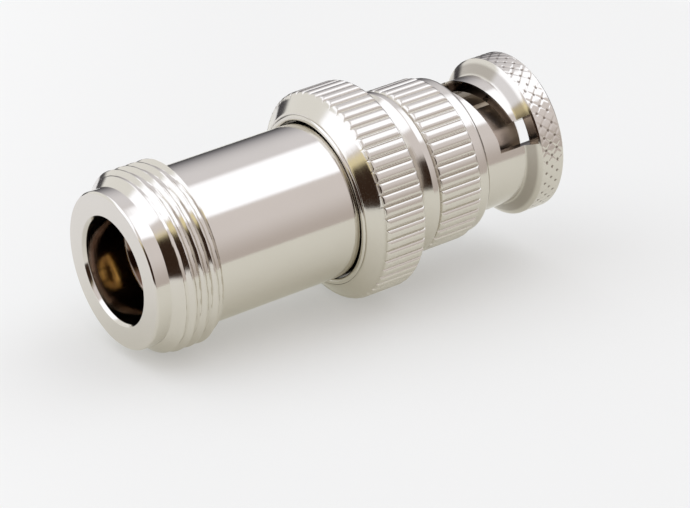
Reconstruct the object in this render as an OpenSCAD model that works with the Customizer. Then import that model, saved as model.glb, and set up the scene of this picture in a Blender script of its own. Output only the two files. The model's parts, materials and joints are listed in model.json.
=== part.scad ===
// Coaxial adapter: threaded jack at the foot, bayonet plug with a turning coupling nut at the head.
// The axis is Z, the jack's flat face stands on z = 0, and all sizes are millimetres.

/* [Threaded jack] */
// Major diameter of the coupling thread
thread_d = 15.88; // [15.5:0.01:16.2]
// Thread pitch, 24 turns to the inch
thread_pitch = 1.058; // [0.9:0.001:1.2]
// Full turns between the first and the last crest
thread_turns = 3; // [2:1:5]
// Diameter of the smooth nose in front of the thread
nose_d = 13.7; // [13:0.1:14.2]
// Length of the nose, from the face to the first crest
nose_len = 2.5; // [1.8:0.1:4]
// Length of the cone that leads from the nose onto the thread
lead_len = 1.1; // [0.5:0.1:1.4]
// Diameter of the plain barrel
barrel_d = 13.7; // [13.3:0.1:14]
// Length of the barrel behind the thread
barrel_len = 15.3; // [13:0.1:20]
// Diameter of the mouth that the mating plug enters
mouth_d = 9.2; // [8.8:0.1:10]
// Depth of the mouth
mouth_depth = 4; // [3.8:0.1:4.5]
// Diameter of the outer conductor's seat
seat_d = 8.1; // [7.6:0.1:8.6]
// Distance from the face to the bottom of the seat
seat_depth = 9.1; // [8.5:0.1:10]
// Inner diameter of the outer conductor
conductor_d = 7; // [6.4:0.1:7.4]

/* [Coupling nut] */
// Diameter over the large knurled grip
grip_d = 18.5; // [17.8:0.1:20]
// Length of the sloping shoulder behind the grip
slope_len = 1.1; // [0.8:0.1:1.6]
// Length of the large knurled grip
grip_len = 4; // [3:0.1:6]
// Ridges round the large grip
grip_ridges = 55; // [40:1:64]
// Direction of a valley of the large grip, in degrees from +X
grip_turn = -1.8; // [-5:0.1:5]
// Diameter of the collar and of the small knurled band
collar_d = 14.6; // [14.2:0.1:15.6]
// Length of the plain part between the grip and the small band
collar_len = 3.1; // [2.3:0.1:4.5]
// Wall of the waist in front of the grip, over the hub
waist_wall = 0.5; // [0.4:0.05:0.6]
// Length of the cone from the waist to the collar
collar_slope = 1; // [0.6:0.1:1.2]
// Length of the collar's straight part
collar_land = 0.8; // [0.5:0.1:1]
// Length of the small knurled band
band_len = 4.2; // [3:0.1:6]
// Ridges round the small band
band_ridges = 42; // [30:1:50]
// Direction of a valley of the small band, in degrees from +X
band_turn = 2.2; // [-5:0.1:5]
// Depth of the knurling
knurl_depth = 0.34; // [0.2:0.02:0.45]
// Length of the plain front end of the small band
tip_len = 1.5; // [1:0.1:2]
// Length of the rounding at that end
tip_round = 0.8; // [0.4:0.1:0.9]
// Diameter of the slotted neck
neck_d = 11.7; // [11.5:0.1:12.4]
// Length of the slotted neck
neck_len = 4.3; // [4.2:0.1:6]
// Length of the sloping shoulder behind the rim
shoulder_len = 0.8; // [0.4:0.1:1]
// Diameter of the front rim
rim_d = 14.2; // [13.8:0.1:15.6]
// Length of the front rim
rim_len = 2.5; // [1.8:0.1:4]
// Bore that takes the mating shell
bore_d = 9.8; // [9.7:0.05:10]
// Diameter of the mouth in front of that bore
bore_mouth_d = 10.2; // [10.1:0.05:10.5]
// Depth of that mouth
bore_mouth_len = 1.7; // [1.4:0.1:1.8]
// Width of the bayonet slots
slot_w = 2.3; // [2.1:0.05:2.4]
// Turn between the way in and the locking hole, in degrees
slot_turn = 93; // [80:1:100]
// Climb of the slot over that turn
slot_rise = 1.9; // [1.5:0.1:2]
// Diameter over the stud grooves inside the rim
groove_d = 11.2; // [11.1:0.05:11.5]
// Direction of the way in, in degrees from +X
slot_start = -85; // [-180:1:180]

/* [Spring seat] */
// Outer diameter of the ring that closes the nut
ring_d = 15.1; // [15:0.1:15.6]
// Wall of that ring
ring_wall = 0.55; // [0.4:0.05:0.65]
// Length of that ring
ring_len = 1.55; // [1.2:0.05:2]
// Width of the washers' strip, from bore to rim
washer_w = 1.35; // [1.1:0.05:1.4]
// Thickness of the thrust washer
thrust_t = 0.4; // [0.3:0.05:0.6]
// Thickness of a wave washer's strip
wave_t = 0.2; // [0.15:0.01:0.25]
// Free height of a wave washer
wave_h = 0.55; // [0.45:0.01:0.7]
// Waves round a washer
wave_lobes = 3; // [2:1:4]
// Thickness of the flange that the washers push on
flange_t = 1.4; // [1:0.1:2]

/* [Plug inside the nut] */
// Diameter of the hub that the nut turns on
hub_d = 12; // [11.6:0.1:12.2]
// Length of the hub in front of the flange
hub_len = 4.6; // [4:0.1:5]
// Outer diameter of the spring fingers
finger_d = 8.1; // [8:0.05:8.3]
// Length of the spring fingers in front of the hub
finger_len = 10.4; // [9:0.1:10.5]
// Gaps between the spring fingers
finger_gaps = 4; // [4:1:6]
// Width of a gap between fingers
finger_gap_w = 0.5; // [0.3:0.05:0.7]
// Height of the seal ring
seal_h = 1.2; // [0.9:0.1:1.3]
// Width of the seal ring, from bore to rim
seal_w = 0.75; // [0.6:0.05:0.8]
// Wall of the jack's tail, which the plug's spigot is pressed into
tail_wall = 0.6; // [0.5:0.05:0.8]

/* [Centre line] */
// Outer diameter of the socket contact
socket_d = 3.04; // [2.9:0.02:3.2]
// Bore of the socket contact
socket_bore_d = 1.68; // [1.6:0.02:1.76]
// Depth of the socket's bore
socket_depth = 5.5; // [5:0.1:6]
// Gap from the jack's face to the tip of the socket
socket_recess = 3.9; // [3.9:0.1:4.4]
// Diameter of the contact inside the insulators
core_d = 2.1; // [1.9:0.05:2.4]
// Diameter of the contact's collar
collar_stop_d = 3.8; // [3.2:0.1:4.4]
// Diameter of the plug's pin
pin_d = 1.35; // [1.3:0.01:1.4]
// Length of the plug's pin
pin_len = 8.6; // [7.5:0.1:8.8]
// Diameter of the jack's insulator
bead_d = 8.4; // [7.8:0.1:9]
// Length of the jack's insulator
bead_len = 5.1; // [4:0.1:7]
// Length of the contact's collar between the insulators
collar_stop_len = 1.8; // [1.2:0.1:2.4]

/* [Hidden] */
$fn = 96;

// Clearances and edge breaks
run_fit = 0.05;
washer_fit = 0.1;
ring_fit = 0.15;
edge = 0.3;
lip = 0.15;
mouth_break = 0.05;
cut_over = 0.5;

// Thread form: flat crests an eighth and flat roots a quarter of the pitch wide
thread_r = thread_d / 2;
thread_root_r = thread_r - 0.6134 * thread_pitch;
crest_w = thread_pitch / 8;
root_w = thread_pitch / 4;
flank_w = (thread_pitch - crest_w - root_w) / 2;

// Stations of the jack, counted from its face
thread_z = nose_len;
thread_end = thread_z + thread_turns * thread_pitch + crest_w;
barrel_end = thread_end + edge + barrel_len;
barrel_r = barrel_d / 2;
ledge_len = 1;
bead_z = seat_depth + ledge_len;
bead_end = bead_z + bead_len;
taper_in = 0.6;

// Stations of the spring seat
thrust_z = barrel_end + washer_fit;
wave_z = thrust_z + thrust_t;
wave_count = 2;
flange_z = wave_z + wave_count * wave_h;
flange_end = flange_z + flange_t;
ring_z = thrust_z - ring_len;
ring_r = ring_d / 2;
ring_bore = ring_r - ring_wall;
washer_r = ring_r - washer_fit;
washer_bore = washer_r - washer_w;

// Parts of the jack that take their size from the spring seat: the barrel inside the ring, and the tail
ring_seat_z = ring_z - ring_fit;
ring_seat_r = ring_bore - ring_fit;
step_r = washer_bore - washer_fit;
spigot_r = step_r - tail_wall;

// Stations of the plug
hub_end = flange_end + hub_len;
finger_end = hub_end + finger_len;
finger_t = 0.55;
finger_root = 2.4;
finger_bulge = 0.08;
stop_z = bead_end;
stop_end = stop_z + collar_stop_len;
insulator_over = 0.6;
tail_d = 1.2;
tail_len = 3;
insulator_end = hub_end + insulator_over;
pin_end = insulator_end + pin_len;

// Stations of the coupling nut
ring_proud = 0.15;
nut_z = ring_z + ring_proud;
grip_z = nut_z + slope_len;
grip_end = grip_z + grip_len;
band_z = grip_end + collar_len;
band_end = band_z + band_len;
neck_z = band_end + tip_len;
neck_end = neck_z + neck_len;
rim_z = neck_end + shoulder_len;
rim_end = rim_z + rim_len;
grip_r = grip_d / 2;
collar_r = collar_d / 2;
collar_z = band_z - collar_land;
waist_r = hub_d / 2 + run_fit + waist_wall;
neck_r = neck_d / 2;
rim_r = rim_d / 2;
cavity_end = flange_end + run_fit;
seal_room = 0.2;
bore_step = hub_end + seal_h + seal_room;
mouth_z = rim_end - bore_mouth_len;
knurl_floor = 0.05;

// Bayonet slots
slot_count = 2;
slot_lead = 0.2;
slot_in_z = neck_end - slot_w / 2 - slot_lead;
slot_steps = 12;
slot_r = (bore_d + neck_d) / 4;
slot_run = slot_r * slot_turn * PI / 180;
slot_climb = atan2(slot_rise, slot_run);
slot_overlap = 1.3;

// Seal ring, in the bore, and the root of the fingers inside it
seal_r = bore_d / 2 - run_fit;
seal_bore = seal_r - seal_w;
finger_foot_r = seal_bore - run_fit;

// A turned piece, from an outline of [radius, height] points
module turned(outline) {
    rotate_extrude() polygon(outline);
}

// A plain hole or pin between two heights
module bar(r, z0, z1) {
    translate([0, 0, z0]) cylinder(r = r, h = z1 - z0);
}

// Outline of the thread's crests and roots, upwards from the first crest
function thread_outline(z0) = concat(
    [for (i = [0 : thread_turns - 1], p = [
        [thread_r, 0],
        [thread_r, crest_w],
        [thread_root_r, crest_w + flank_w],
        [thread_root_r, crest_w + flank_w + root_w]
    ]) [p[0], z0 + i * thread_pitch + p[1]]],
    [for (w = [0, crest_w]) [thread_r, z0 + thread_turns * thread_pitch + w]]
);

// Arc of [radius, height] points about a centre, with its own reach outwards and upwards
function arc(cr, cz, out, up, a0, a1, n) = [
    for (i = [0 : n]) let (a = a0 + (a1 - a0) * i / n) [cr + out * cos(a), cz + up * sin(a)]
];

// Star of flat-topped ridges, with a valley in one direction
function ridge_points(r, count, turn) = [
    for (i = [0 : count - 1], p = [[0, -knurl_depth], [0.32, 0], [0.68, 0]])
        let (a = turn + 360 * (i + p[0]) / count) [(r + p[1]) * cos(a), (r + p[1]) * sin(a)]
];

// A band of straight knurling with broken ends
module knurled_band(r, z0, z1, count, turn) {
    core = r - knurl_depth + knurl_floor;
    intersection() {
        translate([0, 0, z0]) linear_extrude(z1 - z0) polygon(ridge_points(r, count, turn));
        turned([
            [0, z0], [core, z0], [r + knurl_floor, z0 + knurl_depth],
            [r + knurl_floor, z1 - knurl_depth], [core, z1], [0, z1]
        ]);
    }
}

// Jack body: nose, thread and barrel outside, mouth, seat and insulator bore inside
module jack_body() {
    color("gainsboro") difference() {
        turned(concat(
            [[0, 0], [nose_d / 2 - lip, 0], [nose_d / 2, lip], [nose_d / 2, thread_z - lead_len]],
            thread_outline(thread_z),
            [
                [barrel_r, thread_end + edge], [barrel_r, ring_seat_z - lip], [ring_seat_r, ring_seat_z],
                [ring_seat_r, barrel_end - lip], [ring_seat_r - lip, barrel_end],
                [step_r, barrel_end], [step_r, flange_z], [0, flange_z]
            ]
        ));
        turned([
            [0, -cut_over], [mouth_d / 2 + mouth_break + cut_over, -cut_over], [mouth_d / 2, mouth_break],
            [mouth_d / 2, mouth_depth], [seat_d / 2, mouth_depth + taper_in], [seat_d / 2, seat_depth],
            [conductor_d / 2, seat_depth], [conductor_d / 2, bead_z], [bead_d / 2, bead_z],
            [bead_d / 2, bead_end], [spigot_r, bead_end], [spigot_r, flange_z + cut_over],
            [0, flange_z + cut_over]
        ]);
    }
}

// Insulating bead that holds the contact in the jack
module jack_insulator() {
    color("white") difference() {
        bar(bead_d / 2, bead_z, bead_end);
        bar(core_d / 2, bead_z - cut_over, bead_end + cut_over);
    }
}

// Contact of the jack: split socket, with a neck through the bead and a hole for the other contact's tail
module socket_contact() {
    socket_r = socket_d / 2;
    split_w = 0.25;
    split_len = socket_depth - 2 * edge;
    color("gold") difference() {
        turned([
            [0, socket_recess], [socket_r - lip, socket_recess], [socket_r, socket_recess + lip],
            [socket_r, bead_z], [core_d / 2, bead_z], [core_d / 2, stop_z], [0, stop_z]
        ]);
        turned([
            [0, socket_recess - cut_over], [socket_bore_d / 2 + lip + cut_over, socket_recess - cut_over],
            [socket_bore_d / 2, socket_recess + lip], [socket_bore_d / 2, socket_recess + socket_depth],
            [0, socket_recess + socket_depth]
        ]);
        bar(tail_d / 2, stop_z - tail_len, stop_z + cut_over);
        for (a = [45, 135])
            rotate([0, 0, a]) translate([-socket_d, -split_w / 2, socket_recess - cut_over])
                cube([2 * socket_d, split_w, split_len + cut_over]);
    }
}

// Contact of the plug: tail, collar, core and pin
module pin_contact() {
    pin_r = pin_d / 2;
    nose = pin_r + 2 * lip;
    color("gold") turned([
        [0, stop_z - tail_len + lip], [tail_d / 2, stop_z - tail_len + lip], [tail_d / 2, stop_z],
        [collar_stop_d / 2, stop_z], [collar_stop_d / 2, stop_end], [core_d / 2, stop_end],
        [core_d / 2, insulator_end], [pin_r, insulator_end], [pin_r, pin_end - nose],
        [pin_r / 2, pin_end - lip], [0, pin_end]
    ]);
}

// Insulator that fills the plug behind its pin
module plug_insulator() {
    color("white") difference() {
        bar(conductor_d / 2, stop_end, insulator_end);
        bar(core_d / 2, stop_end - cut_over, insulator_end + cut_over);
    }
}

// Plug body: spigot, flange, hub and the split spring fingers
module plug_body() {
    finger_r = finger_d / 2;
    finger_bore = finger_r - finger_t;
    color("gainsboro") difference() {
        turned([
            [0, bead_end], [spigot_r, bead_end], [spigot_r, flange_z],
            [ring_r - run_fit, flange_z], [ring_r - run_fit, flange_end],
            [hub_d / 2, flange_end], [hub_d / 2, hub_end - lip], [hub_d / 2 - lip, hub_end],
            [finger_foot_r, hub_end], [finger_foot_r, hub_end + seal_h], [finger_r, hub_end + finger_root],
            [finger_r, finger_end - 2 * finger_root], [finger_r + finger_bulge, finger_end - edge],
            [finger_r - edge, finger_end], [0, finger_end]
        ]);
        bar(collar_stop_d / 2 + washer_fit, bead_end - cut_over, stop_end + cut_over);
        bar(conductor_d / 2, stop_end, insulator_end);
        turned([
            [0, insulator_end - lip], [conductor_d / 2, insulator_end - lip], [finger_bore, insulator_end],
            [finger_bore, finger_end - lip], [finger_bore + lip + cut_over, finger_end + cut_over],
            [0, finger_end + cut_over]
        ]);
        for (i = [0 : finger_gaps - 1])
            rotate([0, 0, 360 * (i + 0.5) / finger_gaps])
                translate([finger_bore - cut_over, -finger_gap_w / 2, hub_end + finger_root])
                    cube([finger_t + 2 * cut_over, finger_gap_w, finger_len]);
    }
}

// Soft ring that the mating shell presses on
module seal_ring() {
    half = seal_w / 2;
    color("firebrick") turned(concat(
        [[seal_bore, hub_end], [seal_r, hub_end]],
        arc(seal_bore + half, hub_end + seal_h - half, half, half, 0, 180, 12)
    ));
}

// Wave washer: a flat strip bent up and down round the ring
module wave_washer(z0, turn) {
    steps = 72;
    swing = (wave_h - wave_t) / 2;
    section = [[washer_bore, 0], [washer_r, 0], [washer_r, wave_t], [washer_bore, wave_t]];
    ring = [for (i = [0 : steps - 1], p = section)
        let (a = 360 * i / steps)
            [p[0] * cos(a), p[0] * sin(a), z0 + swing * (1 + cos(wave_lobes * a + turn)) + p[1]]];
    faces = [for (i = [0 : steps - 1], k = [0 : 3], half = [0, 1])
        let (a = 4 * i, b = 4 * ((i + 1) % steps), m = (k + 1) % 4)
            half == 0 ? [a + k, b + k, b + m] : [a + k, b + m, a + m]];
    color("lightslategray") polyhedron(ring, faces);
}

module wave_washer_rear() {
    wave_washer(wave_z, 0);
}

module wave_washer_front() {
    wave_washer(wave_z + wave_h, 180);
}

// Flat washer that the nut turns on and pushes
module thrust_washer() {
    color("lightslategray") difference() {
        bar(washer_r, thrust_z, wave_z);
        bar(washer_bore, thrust_z - cut_over, wave_z + cut_over);
    }
}

// Ring pressed into the back of the nut
module back_ring() {
    color("gainsboro") turned([
        [ring_bore, ring_z + lip], [ring_bore + lip, ring_z], [ring_r - lip, ring_z],
        [ring_r, ring_z + ring_proud], [ring_r, thrust_z], [ring_bore, thrust_z]
    ]);
}

// Bayonet slots: way in through the shoulder, climbing slot and locking hole
module bayonet_slots() {
    for (s = [0 : slot_count - 1]) rotate([0, 0, slot_start + 360 * s / slot_count]) {
        translate([0, -slot_w / 2, slot_in_z - slot_w / 2])
            cube([rim_r + cut_over, slot_w, rim_z - slot_in_z + slot_w / 2]);
        for (i = [0 : slot_steps]) rotate([0, 0, -slot_turn * i / slot_steps])
            translate([slot_r, 0, slot_in_z - slot_rise * i / slot_steps]) rotate([slot_climb, 0, 0])
                cube([neck_d - bore_d, slot_overlap * slot_run / slot_steps, slot_w], center = true);
        rotate([0, 0, -slot_turn]) translate([0, 0, slot_in_z - slot_rise]) rotate([0, 90, 0])
            cylinder(d = slot_w + 2 * washer_fit, h = neck_r + cut_over);
    }
}

// Grooves that let the studs pass under the rim
module stud_grooves() {
    intersection() {
        bar(groove_d / 2, slot_in_z, rim_end + cut_over);
        for (s = [0 : slot_count - 1]) rotate([0, 0, slot_start + 360 * s / slot_count])
            translate([0, -slot_w / 2, slot_in_z]) cube([groove_d, slot_w, rim_end]);
    }
}

// Coupling nut: knurled grip, waist, collar, knurled band, slotted neck and rim
module coupling_nut() {
    core = knurl_depth - knurl_floor;
    band_core = collar_r - core;
    tip = arc(neck_r, neck_z - tip_round, band_core - neck_r, tip_round, 0, 90, 10);
    color("gainsboro") difference() {
        union() {
            turned(concat(
                [
                    [0, nut_z], [ring_r + lip, nut_z], [grip_r - core, grip_z],
                    [grip_r - core, grip_end - knurl_depth], [grip_r - core - edge, grip_end],
                    [waist_r, grip_end], [waist_r, collar_z - collar_slope], [collar_r, collar_z],
                    [collar_r, band_z - edge], [band_core, band_z]
                ],
                tip,
                [
                    [neck_r, neck_end], [rim_r - lip, rim_z], [rim_r, rim_z + lip],
                    [rim_r, rim_end - edge], [rim_r - edge, rim_end], [0, rim_end]
                ]
            ));
            knurled_band(grip_r, grip_z, grip_end, grip_ridges, grip_turn);
            knurled_band(collar_r, band_z, band_end, band_ridges, band_turn);
        }
        turned([
            [0, nut_z - cut_over], [ring_r, nut_z - cut_over], [ring_r, cavity_end],
            [hub_d / 2 + run_fit, cavity_end], [hub_d / 2 + run_fit, bore_step], [bore_d / 2, bore_step],
            [bore_d / 2, mouth_z], [bore_mouth_d / 2, mouth_z],
            [bore_mouth_d / 2, rim_end - lip], [bore_mouth_d / 2 + lip + cut_over, rim_end + cut_over],
            [0, rim_end + cut_over]
        ]);
        bayonet_slots();
        stud_grooves();
    }
}

jack_body();
jack_insulator();
socket_contact();
pin_contact();
plug_insulator();
plug_body();
seal_ring();
wave_washer_rear();
wave_washer_front();
thrust_washer();
back_ring();
coupling_nut();
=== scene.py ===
"""Looks of a coaxial adapter: a threaded jack at the foot, a bayonet plug with a coupling nut at the head.

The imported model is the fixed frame. The turned metal pieces are worked out again as fine surfaces with a
true helical thread, knurling and slots, and every piece gets a procedural finish. Lengths in the dataclasses
are millimetres and angles degrees, and meshes are metres, in the frame's own axes: Z is the adapter's axis.
"""

from __future__ import annotations

import json
import logging
import math
from dataclasses import dataclass, field
from enum import Enum
from typing import Any

import bmesh
import bpy
import numpy as np
from mathutils import Matrix, Vector

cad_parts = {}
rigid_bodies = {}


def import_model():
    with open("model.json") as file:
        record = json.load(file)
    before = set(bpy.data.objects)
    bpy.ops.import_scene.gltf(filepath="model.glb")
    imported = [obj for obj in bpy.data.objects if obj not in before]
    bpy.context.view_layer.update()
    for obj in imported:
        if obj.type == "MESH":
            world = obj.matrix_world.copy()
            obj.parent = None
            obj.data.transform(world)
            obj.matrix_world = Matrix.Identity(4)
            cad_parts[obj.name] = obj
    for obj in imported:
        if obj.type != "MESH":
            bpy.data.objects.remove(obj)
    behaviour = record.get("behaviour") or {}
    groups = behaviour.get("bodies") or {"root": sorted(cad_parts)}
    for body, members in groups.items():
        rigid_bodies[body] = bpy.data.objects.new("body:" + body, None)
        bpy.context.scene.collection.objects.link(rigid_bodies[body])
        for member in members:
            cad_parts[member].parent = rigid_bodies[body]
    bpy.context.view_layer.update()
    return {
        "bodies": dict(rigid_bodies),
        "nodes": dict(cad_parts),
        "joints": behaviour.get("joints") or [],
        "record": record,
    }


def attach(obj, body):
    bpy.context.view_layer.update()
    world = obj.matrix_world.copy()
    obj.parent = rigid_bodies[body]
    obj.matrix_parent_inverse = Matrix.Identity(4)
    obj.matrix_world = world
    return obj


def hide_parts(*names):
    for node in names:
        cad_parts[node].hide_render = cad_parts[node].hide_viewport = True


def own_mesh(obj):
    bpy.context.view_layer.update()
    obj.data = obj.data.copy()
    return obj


LOG = logging.getLogger("adapter")
MM = 0.001
TINY = 1e-6
TURN = 2 * math.pi
WELD_MM = 0.0005
NOISE_MIDDLE = 0.5
CLOUD_DETAIL = 4.0
GRAIN_DETAIL = 2.0
RING_DETAIL = 3.0
MIX_FIRST = 6
MIX_SECOND = 7
MIX_RESULT = 2
RIM_DIAMONDS = 40
RIM_PITCH_MM = 1.15
PHOTO_WIDTH_PX = 690

Colour = tuple[float, float, float, float]
Ends = tuple[float, float]
Triple = tuple[float, float, float]

WHITE: Colour = (1, 1, 1, 1)
NICKEL: Colour = (0.69, 0.66, 0.6, 1)
NICKEL_TINT: Colour = (0.66, 0.63, 0.565, 1)


class Body(Enum):
    """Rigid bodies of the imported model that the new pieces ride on."""

    ADAPTER = "adapter_body"
    COUPLING = "coupling"


class Slot(Enum):
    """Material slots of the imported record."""

    NICKEL = "nickel_plate"
    SPRING = "spring_steel"


class Finish(Enum):
    """Finishes of the pieces."""

    JACK = "jack_nickel"
    NUT = "nut_nickel"
    RING = "ring_nickel"
    FINGERS = "finger_bronze"
    GOLD = "contact_gold"
    BEAD = "shaded_bead"
    CORE = "white_core"
    SEAL = "seal_rubber"
    SPRING = "spring_steel"


# Shader graphs


class Value:
    """One shader socket. Arithmetic on it adds Math nodes to its graph."""

    def __init__(self, graph: "Graph", socket: bpy.types.NodeSocket) -> None:
        """Wraps a socket of a graph."""
        self.graph = graph
        self.socket = socket

    def math(self, operation: str, other: Any = None, swapped: bool = False) -> "Value":
        """Combines this value with another one.

        Args:
            operation: name of the Math node's operation.
            other: second number or Value, or None where the operation takes one.
            swapped: True puts the other value first.

        Returns:
            The Math node's result.
        """
        inputs = [self] if other is None else [other, self] if swapped else [self, other]
        return self.graph.value("ShaderNodeMath", {"operation": operation}, dict(enumerate(inputs)))

    def __add__(self, other: Any) -> "Value":
        """Sum."""
        return self.math("ADD", other)

    def __sub__(self, other: Any) -> "Value":
        """Difference."""
        return self.math("SUBTRACT", other)

    def __rsub__(self, other: Any) -> "Value":
        """Difference from a number."""
        return self.math("SUBTRACT", other, swapped=True)

    def __mul__(self, other: Any) -> "Value":
        """Product."""
        return self.math("MULTIPLY", other)

    def __truediv__(self, other: Any) -> "Value":
        """Quotient."""
        return self.math("DIVIDE", other)

    __radd__ = __add__
    __rmul__ = __mul__

    def step(self, low: float, high: float) -> "Value":
        """Smooth step: 0 below low, 1 above high."""
        ends = {"Value": self, "From Min": low, "From Max": high}
        return self.graph.value("ShaderNodeMapRange", {"interpolation_type": "SMOOTHSTEP"}, ends)

    def between(self, low: float, high: float, rise: float, fall: float) -> "Value":
        """1 between low and high, with a smooth rise and a smooth fall of given lengths inside them."""
        return self.step(low, low + rise) * (1 - self.step(high - fall, high))

    def along(self, direction: Vector) -> "Value":
        """Dot product of a vector value with a fixed direction."""
        return self.graph.value(
            "ShaderNodeVectorMath", {"operation": "DOT_PRODUCT"}, {0: self, 1: tuple(direction)}, "Value"
        )


class Graph:
    """Node tree of a material or of the world."""

    def __init__(self, owner: bpy.types.ID) -> None:
        """Empties the owner's node tree and adds its output node.

        Args:
            owner: the material or the world.
        """
        owner.use_nodes = True
        self.tree = owner.node_tree
        self.tree.nodes.clear()
        kind = "ShaderNodeOutputWorld" if isinstance(owner, bpy.types.World) else "ShaderNodeOutputMaterial"
        self.output = self.tree.nodes.new(kind)

    def node(self, kind: str, settings: dict[str, Any], inputs: dict[Any, Any]) -> bpy.types.Node:
        """Adds one node.

        Args:
            kind: Blender's name of the node type.
            settings: attributes to set first.
            inputs: socket name or number to a number, a colour or a Value.

        Returns:
            The new node.
        """
        made = self.tree.nodes.new(kind)
        for name, setting in settings.items():
            setattr(made, name, setting)
        for key, given in inputs.items():
            if isinstance(given, Value):
                self.tree.links.new(given.socket, made.inputs[key])
            else:
                made.inputs[key].default_value = given
        return made

    def value(self, kind: str, settings: dict[str, Any], inputs: dict[Any, Any], output: Any = 0) -> Value:
        """Adds one node and returns one of its outputs, by name or number."""
        return Value(self, self.node(kind, settings, inputs).outputs[output])

    def mix(self, share: Any, first: Any, second: Any) -> Value:
        """Colour mix: first where share is 0, second where it is 1."""
        inputs = {"Factor": share, MIX_FIRST: first, MIX_SECOND: second}
        return self.value("ShaderNodeMix", {"data_type": "RGBA"}, inputs, MIX_RESULT)

    def noise(self, place: Value, scale: float, detail: float) -> Value:
        """Noise from 0 to 1 at a place."""
        inputs = {"Vector": place, "Scale": scale, "Detail": detail}
        return self.value("ShaderNodeTexNoise", {}, inputs, "Fac")

    def finish(self, shader: Value) -> None:
        """Links a shader to the surface of the output node."""
        self.tree.links.new(shader.socket, self.output.inputs["Surface"])


@dataclass(frozen=True)
class TurnedMetal:
    """Plated metal with the fine rings that a lathe tool leaves."""

    colour: Colour
    tint: Colour
    roughness: float
    bore_mm: float = 0.0
    bore_from_mm: float = 0.0
    # Dark colour of the painted shade in the bore.
    bore_shade_colour: Colour = (0.15, 0.09, 0.06, 1)
    bore_wall_mm: float = 0.25
    bore_fade_mm: float = 0.5
    rings_per_mm: float = 14.0
    rings_per_radian: float = 1.5
    ring_height: float = 0.15
    ring_swing: float = 0.08
    cloud_scale: float = 260.0
    cloud_swing: float = 0.06
    speck_scale: float = 4200.0
    speck_share: float = 0.15
    mark_depth_mm: float = 0.02
    rolled_satin: float = 0.08

    def material(self, name: str) -> bpy.types.Material:
        """Makes the material.

        Ring marks are noise stretched round the axis: its frequency along Z and along the radius is high, and
        it changes slowly round the turn. The bore, which is inside a radius and past a height, is darker:
        painted shade.

        Args:
            name: name of the material.

        Returns:
            The new material.
        """
        made = bpy.data.materials.new(name)
        graph = Graph(made)
        place = graph.value("ShaderNodeTexCoord", {}, {}, "Object")
        split = graph.node("ShaderNodeSeparateXYZ", {}, {0: place})
        x, y, z = (Value(graph, split.outputs[i]) for i in range(3))
        radius = (x * x + y * y).math("SQRT")
        angle = y.math("ARCTAN2", x)
        per_metre = self.rings_per_mm / MM
        lathe = {0: angle * self.rings_per_radian, 1: radius * per_metre, 2: z * per_metre}
        rings = graph.noise(graph.value("ShaderNodeCombineXYZ", {}, lathe), 1.0, RING_DETAIL)
        rolled = self.rolled(radius / MM, z / MM)
        rings = rings * (1 - rolled) + NOISE_MIDDLE * rolled
        cloud = graph.noise(place, self.cloud_scale, CLOUD_DETAIL)
        specks = graph.noise(place, self.speck_scale, GRAIN_DETAIL)
        marks = {
            "Strength": self.ring_height,
            "Distance": self.mark_depth_mm * MM,
            "Height": rings + self.speck_share * specks,
        }
        shine = self.roughness + self.ring_swing * (rings - NOISE_MIDDLE)
        shine = shine + self.cloud_swing * (cloud - NOISE_MIDDLE) + self.rolled_satin * rolled
        colour = graph.mix(cloud, self.colour, self.tint)
        # Painted shade: the bore, and on the nut the rim's pits and the corner behind the rim, are painted
        # darker.
        if self.bore_mm:
            dark = self.painted_shade_share(radius / MM, angle, z / MM)
            colour = graph.mix(dark, colour, self.bore_shade_colour)
        shader = {
            "Base Color": colour,
            "Metallic": 1.0,
            "Roughness": shine,
            "Normal": graph.value("ShaderNodeBump", {}, marks),
        }
        graph.finish(graph.value("ShaderNodeBsdfPrincipled", {}, shader))
        return made

    def painted_shade_share(self, radius: Value, angle: Value, z: Value) -> Value:
        """Share of the dark colour of painted shade, which is 1 in the bore and 0 outside.

        Args:
            radius: distance from the axis in millimetres.
            angle: angle round the axis in radians, not used here.
            z: height in millimetres.

        Returns:
            The share, from 0 to 1.
        """
        inside = 1 - radius.step(self.bore_mm - self.bore_wall_mm, self.bore_mm)
        return inside * z.step(self.bore_from_mm, self.bore_from_mm + self.bore_fade_mm)

    def rolled(self, radius: Value, z: Value) -> Value | float:
        """Share of rolled knurling at a radius and a height, none on a plain turned surface."""
        return 0.0


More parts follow.
